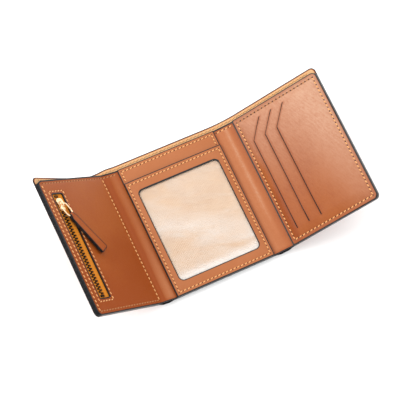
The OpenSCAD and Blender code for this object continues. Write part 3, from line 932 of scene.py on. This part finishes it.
def make_shell():
    """The outer leather, with the seams' other side on its back."""
    box = (X_LEFT, X_RIGHT, Y_FOOT, Y_SHELL, 0.0, LEATHER_T)

    def edges(x, y):
        # black edge paint, widened along the foot of the folds as painted shade where the shell hangs there
        return inset(x, y, box) - 1.5 * in_fold(x, 0.0) * (y < 0)

    made = quarters("outer_leather", sheet_mesh(box, CORNER, CORNER), LEATHER_OUT, shell_relief, edges,
                    wear_and_painted_light)
    declare(made["left_outer"], ["shell_left_wing"])
    declare(made["left_inner"], ["shell_left_fold", "shell_centre"])
    declare(made["right_inner"], ["shell_right_fold"])
    declare(made["right_outer"], ["shell_right_wing"])
    back = {"above": False, "sunk": 0.3}
    top = Y_SHELL - SEAM
    sew_across("top_seam_back", X_LEFT + 6, X_RIGHT - 6, top, 0.0, shell_relief, QUARTERS, **back)
    seam = shrunk(box, SEAM)
    left = (seam[0], -COURSES[LEFT].wing - 2, seam[2], top)
    right = (COURSES[RIGHT].wing + 2, seam[1], seam[2], top)
    centre = straight((CENTRE[0] + SEAM, seam[2]), (CENTRE[1] - SEAM, seam[2]))
    sew("left_seam_back", around(left, "left bottom"), 0.0, "left_wing", shell_relief, **back)
    sew("right_seam_back", around(right, "bottom right"), 0.0, "right_wing", shell_relief, **back)
    sew("centre_seam_back", centre, 0.0, "centre", shell_relief, **back)


def make_lining():
    """The note pocket's twill, glued over the whole of the shell's inside."""
    centre, wing = flat_box("bill_lining_centre"), flat_box("bill_lining_left_wing")
    box = (wing[0], flat_box("bill_lining_right_wing")[1], *centre[2:])
    whole = sheet_mesh(box, 3.0, 3.0, rows=CLOTH_ROWS, rounding=0)
    made = quarters("bill_lining", whole, LINING, lining_relief)
    nodes = {"left_outer": ["bill_lining_left_wing"],
             "left_inner": ["bill_lining_left_fold", "bill_lining_centre"],
             "right_inner": ["bill_lining_right_fold"], "right_outer": ["bill_lining_right_wing"]}
    for part, piece in made.items():
        declare(piece, nodes[part])
        low, high = max(QUARTERS[part][0], box[0]), min(QUARTERS[part][1], box[1])
        (high - low) * MM
        (box[3] - box[2]) * MM
    sew_across("top_seam_lining", X_LEFT + 6, X_RIGHT - 6, Y_SHELL - SEAM, box[5], lining_relief, QUARTERS)


def make_inner_leather():
    """The inner leather, from edge to edge, with the zip opening and its seams."""
    box = (X_LEFT, X_RIGHT, Y_FOOT, Y_INNER, COIN[4], COIN[4] + LEATHER_T)

    def edges(x, y):
        at_zip = np.abs(inset(x, y, ZIP_HOLE, ZIP_CORNER, ZIP_CORNER)) - 0.35
        return np.minimum(inset(x, y, box) - 0.5 * (y > Y_INNER - 2), at_zip)

    made = quarters("inner_leather", sheet_mesh(box, CORNER, CORNER, hole=ZIP_HOLE), LEATHER_IN, inner_relief,
                    edges, wear_and_painted_light)
    declare(made["left_outer"], ["coin_panel"])
    declare(made["left_inner"], ["inner_wall_left_fold", "inner_wall_centre"])
    declare(made["right_inner"], ["inner_wall_right_fold"])
    declare(made["right_outer"], ["inner_wall_right_wing"])
    seam = shrunk(box, SEAM)
    pocket = (seam[0], -COURSES[LEFT].wing - FOLD_SEAM, seam[2], seam[3] - 1)
    for name, side, how in (("coin_seam", "left", {}),
                            ("coin_seam_foot", "bottom", {"sunk": 0.1, "yarn": SHADED_THREAD}),
                            ("coin_seam_fold", "right", {"slant": 0.12})):
        sew(name, around(pocket, side), FACE, "left_outer", inner_relief, **how)
    sew_across("inner_seam_top", seam[0] + 2, CENTRE[0] - 1.5, seam[3], FACE, inner_relief,
               ("left_outer", "left_inner"), sunk=0.16, hole=0.5, yarn=SHADED_THREAD)
    sew_across("fold_seam_top", CENTRE[1] + 1.5, CARD[0] - 1, seam[3], FACE, inner_relief,
               ("right_inner", "right_outer"), sunk=0.1, hole=0.6)
    sew("zip_seam", around(shrunk(ZIP_HOLE, -ZIP_SEAM)), FACE, "left_wing", inner_relief, sunk=0.12)


def make_centre():
    """The centre panel, and on it the window pocket: cloth, clear film and leather frame."""
    def panel_edges(x, y):
        return inset(x, y, CENTRE, CUT_CORNER, CUT_CORNER)

    def frame_edges(x, y):
        at_window = np.abs(inset(x, y, WINDOW, WINDOW_CORNER, WINDOW_CORNER)) - 0.5 * (y > WINDOW[3] - 2)
        return np.minimum(inset(x, y, FRAME, CUT_CORNER, CUT_CORNER), at_window)

    panel = sheet_mesh(CENTRE)
    declare(finished("centre_panel", panel, "centre", LEATHER_CENTRE_LIT, centre_relief, panel_edges),
            ["centre_card_panel"])
    border = sheet_mesh(FRAME, hole=WINDOW, hole_radius=WINDOW_CORNER)
    declare(finished("window_frame", border, "centre", LEATHER_CENTRE_LIT, frame_relief, frame_edges),
            ["id_window_frame"])
    lay_cloth("window_backing", flat_box("id_backing_cloth"), "id_backing_cloth", "centre", WINDOW_COTTON)
    film = sheet_mesh((*FILM[:4], FILM[4] - 0.05, FILM[5] - 0.10), rows=CLOTH_ROWS, step=2.2, rounding=0)
    declare(finished("window_film", film, "centre", VINYL, film_relief), ["id_window_film"])
    seam = shrunk(CENTRE, SEAM)
    above_frame = (seam[0], seam[1], FRAME[3] + 1.5, seam[3])
    sew("centre_seam", around(above_frame, "left top right"), CENTRE[5], "centre", centre_relief, hole=0.52)
    sew("frame_seam", around(shrunk(FRAME, SEAM)), FRAME[5], "centre", frame_relief, hole=0.52)


def make_card_wing():
    """The card panel with its three slits, and a cloth behind each of them."""
    def edges(x, y):
        past_ends = np.maximum(0, SLIT_FOOT - y) + np.maximum(0, y - SLIT_TOP)
        at_slits = np.minimum.reduce([np.abs(slit_offset(x, y, slit)) for slit in SLITS]) + past_ends
        at_sides = inset(x, y, CARD, CUT_CORNER, CORNER) - 0.4 * (x < CARD[0] + 2)
        return np.minimum(at_sides, at_slits + 0.24)

    # painted light on the card panel: a painted sheen that grows towards its top and its outer side, and painted
    # shade low down before the first slit
    def sheen_and_shade(x, y):
        across, up = (x - CARD[0]) / (CARD[1] - CARD[0]), (y - CARD[2]) / (CARD[3] - CARD[2])
        before = -slit_offset(x, y, SLITS[0])
        shade = 0.5 * ease(before, -0.3, 0.3) * (1 - ease(up, 0.3, 0.75)) * ease(across, 0.0, 0.08)
        return ease(0.62 * up + 0.46 * across + 0.05 * np.sin(x / 9.0), 0.22, 1.0) - shade

    bm = sheet_mesh(CARD, CUT_CORNER, CORNER, step=3.5, slits=SLITS, rows=(0.6, 1.1, 2.4, 2.9, 3.4, 3.9, 4.4))
    declare(finished("card_panel_leather", bm, "right_outer", LEATHER_CARD, card_relief, edges, sheen_and_shade),
            ["card_panel"])
    for i in range(1, 4):
        cloth = flat_box(f"card_pocket_{i}")

        def relief(x, y, height=cloth[4]):
            return pressed_down(x, y, height)

        lay_cloth(f"card_cloth_{i}", cloth, f"card_pocket_{i}", "right_outer", COTTON,
                  relief)
    seam = shrunk(CARD, CARD_SEAM)
    sew("card_seam", around(seam, "left bottom right"), CARD[5], "right_outer", card_relief, hole=0.6)
    sew("card_seam_top", around(seam, "top"), CARD[5], "right_outer", card_relief, sunk=0.12, hole=0.75,
        yarn=SHADED_THREAD)


# ---------------------------------------------------------------- coin pocket and zip

def make_coin_bag():
    """The coin pocket's two cloths. The front one is cut out behind the zip."""
    back, front = flat_box("coin_bag_back"), flat_box("coin_bag_front")

    def gathered(x, y):
        edge = np.minimum.reduce([x - X_LEFT, y - Y_FOOT])
        return (COIN[4] - back[5] - 0.3) * (1 - ease(edge, 3, 16))

    lay_cloth("coin_bag_back_cloth", back, "coin_bag_back", "left_wing", COTTON,
              gathered)
    slot = (SLIDER[0] - 0.6, SLIDER[1] + 0.6, ZIP_HOLE[2] - 1, ZIP_HOLE[3] + 1)
    lay_cloth("coin_bag_front_cloth", front, "coin_bag_front", "left_wing", COTTON,
              hole=slot)


TAPE_GAP = 0.5               # from the middle of the zip to either tape
CRIMP = 1.4                  # width of each half of the top stop


def make_zip():
    """Two tapes, a row of teeth on each, and the stops that are crimped on at both ends."""
    for name, tape, teeth, side in (("outer", TAPE_OUT, TEETH_OUT, -1), ("inner", TAPE_IN, TEETH_IN, 1)):
        low, high = (tape[0], ZIP_X - TAPE_GAP) if side < 0 else (ZIP_X + TAPE_GAP, tape[1])
        lay_cloth(f"zip_tape_{name}_weave", (low, high, *tape[2:]), f"zip_tape_{name}", "left_wing", TAPE,
                  rows=(0.5,))
        declare(finished(f"zip_teeth_{name}_row", teeth_mesh(teeth, side), "left_wing", TEETH, sharp=40),
                [f"zip_teeth_{name}"])
    top, bottom = flat_box("zip_top_stop"), flat_box("zip_bottom_stop")
    halves = (top[0], top[0] + CRIMP), (top[1] - CRIMP, top[1])
    for node, box, spans in (("zip_top_stop", top, halves), ("zip_bottom_stop", bottom, [bottom[:2]])):
        bm = bmesh.new()
        for span in spans:
            block(bm, (*span, box[2], box[3], box[4] - 0.1, box[5] + 0.1), 0.35)
        declare(finished(f"{node}_crimp", bm, "left_wing", TEETH, sharp=40), [node])


def block(bm, box, rounding, segments=3):
    """A box with rounded edges."""
    size = Vector((box[1] - box[0], box[3] - box[2], box[5] - box[4]))
    place = Vector((box[0] + box[1], box[2] + box[3], box[4] + box[5])) / 2
    matrix = Matrix.Translation(place) @ Matrix.Diagonal((*size, 1))
    made = bmesh.ops.create_cube(bm, size=1.0, matrix=matrix)["verts"]
    soften(bm, list({e for v in made for e in v.link_edges}), rounding, segments)


TOOTH_PITCH = 2.5
TOOTH_LONG = 1.4             # a tooth's measure along the zip
TOOTH_SHORT_OF_MIDDLE = 0.25
TOOTH_REACH = 2.3            # from the zip's middle to the tooth's far end


def teeth_mesh(box, side):
    """One row of teeth, set between those of the other row."""
    bm = bmesh.new()
    middle = (box[4] + box[5]) / 2
    start = box[2] + (TOOTH_PITCH / 2 if side < 0 else 0.0)
    low, high = sorted((ZIP_X + side * TOOTH_SHORT_OF_MIDDLE, ZIP_X + side * TOOTH_REACH))
    for i in range(int((box[3] - start) / TOOTH_PITCH)):
        y = start + i * TOOTH_PITCH + 0.1
        block(bm, (low, high, y, y + TOOTH_LONG, middle - 0.55, middle + 0.72), 0.22, 2)
    return bm


PLATE_THICK = 0.45, 0.9      # the slider's foot plate and its top plate
PLATE_CORNER = 2.6
POST_HALF = 0.14             # half the width of the post between the plates


def slider_plate(half_w, half_l, thick):
    """A plate of the slider: round cornered, waisted, and narrower towards its foot."""
    plate = bmesh.new()
    rounded(plate, (-half_w, half_w, -half_l, half_l), PLATE_CORNER, PLATE_CORNER, 8)
    for line in np.linspace(-half_l, half_l, 13)[1:-1]:
        slice_flat(plate, (0, line), (0, 1))
    for v in plate.verts:
        v.co.x *= 1 - 0.30 * math.exp(-((v.co.y + 0.8) / 2.6) ** 2) - 0.10 * (v.co.y < 0)
    thicken(plate, thick)
    soften(plate, rims(plate), 0.22, 3)
    return plate


def make_slider():
    """The slider's body: a top plate over a foot plate, its post, and the bridge for the ring."""
    y = (SLIDER[2] + SLIDER[3]) / 2
    half_w, half_l = (SLIDER[1] - SLIDER[0]) / 2, (SLIDER[3] - SLIDER[2]) / 2
    foot, top = SLIDER[4], TEETH_OUT[5] + 0.15
    top_face = top + PLATE_THICK[1]
    bm = bmesh.new()
    for low, thick in zip((foot, top), PLATE_THICK):
        plate = slider_plate(half_w, half_l, thick)
        bmesh.ops.translate(plate, vec=(ZIP_X, y, low), verts=plate.verts)
        join(bm, plate)
    end = y + half_l
    block(bm, (ZIP_X - POST_HALF, ZIP_X + POST_HALF, end - 2.4, end - 0.3, foot + 0.2, top + 0.3), 0.05)
    arch(bm, (ZIP_X, y, top_face - 0.15), 5.6, SLIDER[5] - top_face + 0.1, 1.5, 0.75)
    declare(finished("slider_body", bm, "zip_slider", GOLD, sharp=40), ["zip_slider"])


def join(bm, other):
    """Adds the other bmesh to bm and frees it."""
    mesh = bpy.data.meshes.new("joined")
    other.to_mesh(mesh)
    other.free()
    bm.from_mesh(mesh)
    bpy.data.meshes.remove(mesh)


def sweep(bm, edges, poses, closed=False):
    """Carries a loop of edges, already at the first pose, through the others and skins what it passes."""
    for before, after in zip(poses, poses[1:]):
        made = bmesh.ops.extrude_edge_only(bm, edges=edges)["geom"]
        edges = [g for g in made if isinstance(g, bmesh.types.BMEdge) and g.is_boundary]
        moved = [g for g in made if isinstance(g, bmesh.types.BMVert)]
        bmesh.ops.transform(bm, matrix=after @ before.inverted(), verts=moved)
    if closed:
        bmesh.ops.remove_doubles(bm, verts=bm.verts, dist=TOUCHING)
    else:
        bmesh.ops.holes_fill(bm, edges=[e for e in bm.edges if e.is_boundary])
    bmesh.ops.recalc_face_normals(bm, faces=bm.faces)


def power(value, exponent):
    """A power that keeps the value's sign, which squares a circle's points off."""
    return math.copysign(abs(value) ** exponent, value)


ARCH_STEPS = 24


def arch(bm, foot, length, height, width, thick):
    """A flat strap bent into a bridge along y."""
    poses = []
    for i in range(ARCH_STEPS + 1):
        angle = math.pi * i / ARCH_STEPS
        y = -(length - thick) / 2 * power(math.cos(angle), 0.55)
        z = (height - thick / 2) * math.sin(angle) ** 0.55
        poses.append(Matrix.Translation((foot[0], foot[1] + y, foot[2] + z))
                     @ Matrix.Rotation(math.pi / 2 - angle, 4, "X"))
    strap = bmesh.new()
    bmesh.ops.create_circle(strap, segments=20, radius=1.0)
    for v in strap.verts:
        v.co.x = width / 2 * power(v.co.x, 0.5)
        v.co.y = thick / 2 * power(v.co.y, 0.7)
    bmesh.ops.transform(strap, matrix=poses[0] @ Matrix.Rotation(math.pi, 4, "X"), verts=strap.verts)
    sweep(strap, strap.edges[:], poses)
    join(bm, strap)


# ---------------------------------------------------------------- ring and pull tab

WIRE = 0.65                  # radius of the ring's wire
RING_HALF = 3.65             # from the ring's middle line to either side
RING_CORNER = 2.7
RING_STEPS = 8               # steps round each of its corners


def unlaid(joint):
    """The place of a joint on the left wing, back in the flat layout."""
    course, place = COURSES[LEFT], joint_point(joint)
    turn = course.turn * 2
    x, z = course.second.x - place.x, place.z - course.second.z
    run = course.wing + x * math.cos(turn) + z * math.sin(turn)
    return Vector((-run, place.y, FACE - x * math.sin(turn) + z * math.cos(turn)))


def make_pull():
    """The oval ring in the bridge and the leather tab that hangs from it."""
    top, foot = unlaid("ring_lift"), unlaid("tab_lift")
    down = (foot - top).normalized()
    turn = math.atan2(down.x, -down.y)
    run = (foot - top).length
    flat, far = RING_HALF - RING_CORNER, RING_CORNER - run
    corners = (flat, -RING_CORNER), (-flat, -RING_CORNER), (-flat, far), (flat, far)
    poses = []
    for i, (x, y) in enumerate(corners):
        for step in range(RING_STEPS + 1):
            angle = math.pi / 2 * (i + step / RING_STEPS)
            poses.append(Matrix.Translation((x, y, 0)) @ Matrix.Rotation(angle, 4, "Z")
                         @ Matrix.Translation((RING_CORNER, 0, 0)) @ Matrix.Rotation(math.pi / 2, 4, "X"))
    poses.append(poses[0])
    bm = bmesh.new()
    bmesh.ops.create_circle(bm, segments=14, radius=WIRE)
    bmesh.ops.transform(bm, matrix=poses[0], verts=bm.verts)
    sweep(bm, bm.edges[:], poses, closed=True)
    bmesh.ops.transform(bm, matrix=Matrix.Translation(top) @ Matrix.Rotation(turn, 4, "Z"), verts=bm.verts)
    declare(finished("pull_ring_wire", bm, "pull_ring", GOLD, sharp=180), ["pull_ring"])
    make_tab(foot, turn)


TAB_LONG = 36.0              # from the ring's wire to the tab's free end
TAB_HALF = 4.4               # half the tab's width at its free end
TAB_MIDDLE = 3.4             # half its width where it has left the ring
TAB_NECK = 2.0               # half its width round the wire
TAB_LOOP = 0.97              # radius of its loop round the wire
TAB_CORNER = 1.5
TAB_RISE = math.radians(2.2)  # how far it stands off the leather
TAB_PINCH = math.radians(13)  # how steeply its two halves close behind the wire
TAB_STEP = 0.05              # how finely its course round the wire is worked out


def tab_half(s):
    """Half the tab's width, that far along it from the wire."""
    leaving = (TAB_MIDDLE - TAB_NECK) * ease(np.abs(s), 1.2, 5.0)
    return TAB_NECK + leaving + (TAB_HALF - TAB_MIDDLE) * ease(np.abs(s), 2.0, 52.0) * 1.35


def make_tab(foot, turn):
    """A strip of leather taken round the ring's wire and glued back to back, painted black at its edges."""
    half_length = TAB_LONG + TAB_LOOP * (math.pi / 2 - 1) + 1.0
    box = (-TAB_HALF, TAB_HALF, -half_length, half_length)
    bm = bmesh.new()
    rounded(bm, box, TAB_CORNER, TAB_CORNER)
    slice_rows(bm, box, (0.5, 0.9, 1.4, 2.2, 3.4))
    for along in np.concatenate([np.arange(0, 5.6, 0.4), np.arange(6.5, half_length, 2.0)]):
        for side in (1, -1):
            slice_flat(bm, (0, along * side), (0, 1))
    bmesh.ops.translate(bm, vec=(0, 0, 0.5), verts=bm.verts)
    thicken(bm, -1)
    soften(bm, rims(bm), 0.25, 3)
    bmesh.ops.remove_doubles(bm, verts=bm.verts, dist=TOUCHING)
    flat = np.array([v.co for v in bm.verts])
    narrowed = tab_half(flat[:, 1]) / TAB_HALF
    margin = inset(flat[:, 0], flat[:, 1], box, TAB_CORNER, TAB_CORNER) * narrowed
    s = np.arange(0, 60, TAB_STEP)
    angle = np.clip(s / TAB_LOOP, 0, math.pi / 2) + TAB_PINCH * (ease(s, 1.65, 2.4) - ease(s, 3.0, 5.2))
    up = np.concatenate([[0], np.cumsum(np.cos(angle[:-1]) * TAB_STEP)])
    along = TAB_LOOP - np.concatenate([[0], np.cumsum(np.sin(angle[:-1]) * TAB_STEP)])
    run = np.abs(flat[:, 1])
    side = np.where(flat[:, 1] >= 0, 1, -1)
    lean = np.interp(run, s, angle)
    depth = flat[:, 2] * (0.56 + 0.49 * ease(run, 1.5, 4.5))
    y = np.interp(run, s, along) + depth * np.cos(lean)
    z = side * (np.interp(run, s, up) + depth * np.sin(lean))
    place = Matrix.Translation(foot) @ Matrix.Rotation(turn, 4, "Z") @ Matrix.Rotation(-TAB_RISE, 4, "X")
    for v, point in zip(bm.verts, zip(flat[:, 0] * narrowed, y, z)):
        v.co = place @ Vector(point)
    declare(finished("pull_tab_leather", bm, "pull_tab", LEATHER_IN, edges=margin), ["pull_tab"])


make_shell()
make_painted_edges()
make_lining()
make_inner_leather()
make_centre()
make_card_wing()
make_coin_bag()
make_zip()
make_slider()
make_pull()


# ---------------------------------------------------------------- stage, light and camera

FLOOR_DROP = 0.0004          # how far the floor lies below the wallet, in metres


def make_stage():
    """A pale paper floor."""
    bm = bmesh.new()
    bmesh.ops.create_grid(bm, x_segments=1, y_segments=1, size=3.0)
    mesh = bpy.data.meshes.new("floor")
    bm.to_mesh(mesh)
    bm.free()
    finish = Finish("white_paper", roughness=0.9, specular_ior_level=0.1)
    where = finish.place()
    finish.feed(base_color=finish.mix(finish.noise(where, 60, 2), (0.93, 0.93, 0.93), (0.95, 0.95, 0.95)))
    mesh.materials.append(finish.material)
    floor = bpy.data.objects.new("floor", mesh)
    bpy.context.scene.collection.objects.link(floor)
    floor.location.z = -FLOOR_DROP


def add_light(name, direction, distance, size, power, colour=(1, 1, 1)):
    """A soft box that looks at the wallet from that direction."""
    light = bpy.data.lights.new(name, "AREA")
    light.shape, light.size, light.energy, light.color = "SQUARE", size, power, colour
    lamp = bpy.data.objects.new(name, light)
    place = Vector(direction).normalized()
    lamp.matrix_world = (Matrix.Translation(place * distance)
                         @ place.to_track_quat("Z", "Y").to_matrix().to_4x4())
    bpy.context.scene.collection.objects.link(lamp)


KEY_POWER, TOP_POWER = 4.4, 4.6
ROOM_LIGHT = 1.25


def make_light():
    """A warm soft box from the upper left, a wide one above, and a white room round them."""
    add_light("key_softbox", (-0.70, 0.34, 0.63), 0.90, 0.50, KEY_POWER, (1.0, 0.985, 0.96))
    add_light("top_softbox", (0.15, 0.45, 1.0), 1.1, 1.1, TOP_POWER)
    world = bpy.data.worlds.new("studio")
    bpy.context.scene.world = world
    world.use_nodes = True
    room = world.node_tree.nodes["Background"]
    room.inputs["Color"].default_value = (1, 1, 1, 1)
    room.inputs["Strength"].default_value = ROOM_LIGHT


VIEW_TURN, VIEW_HEIGHT, VIEW_ROLL = math.radians(-46.6), math.radians(71.0), math.radians(22.1)
VIEW_TARGET = Vector((7.6, 5.4, 5.0)) * MM
VIEW_DISTANCE = 1.310        # in metres
SENSOR = 36.0
LENS = 4.25 * SENSOR


def make_camera():
    """A long lens that looks steeply down, turned on its own axis."""
    back = Vector((math.sin(VIEW_TURN) * math.cos(VIEW_HEIGHT), -math.cos(VIEW_TURN) * math.cos(VIEW_HEIGHT),
                   math.sin(VIEW_HEIGHT)))
    right = (-back).cross(Vector((0, 0, 1))).normalized()
    up = back.cross(right)
    turned = right * math.cos(VIEW_ROLL) + up * math.sin(VIEW_ROLL)
    upright = up * math.cos(VIEW_ROLL) - right * math.sin(VIEW_ROLL)
    data = bpy.data.cameras.new("camera")
    data.sensor_width = SENSOR
    data.lens = LENS
    data.clip_end = 20.0
    camera = bpy.data.objects.new("camera", data)
    camera.matrix_world = Matrix((turned, upright, back)).transposed().to_4x4()
    camera.matrix_world.translation = VIEW_TARGET + back * VIEW_DISTANCE
    bpy.context.scene.collection.objects.link(camera)
    bpy.context.scene.camera = camera


make_stage()
make_light()
make_camera()
bpy.context.scene.view_settings.view_transform = "Standard"
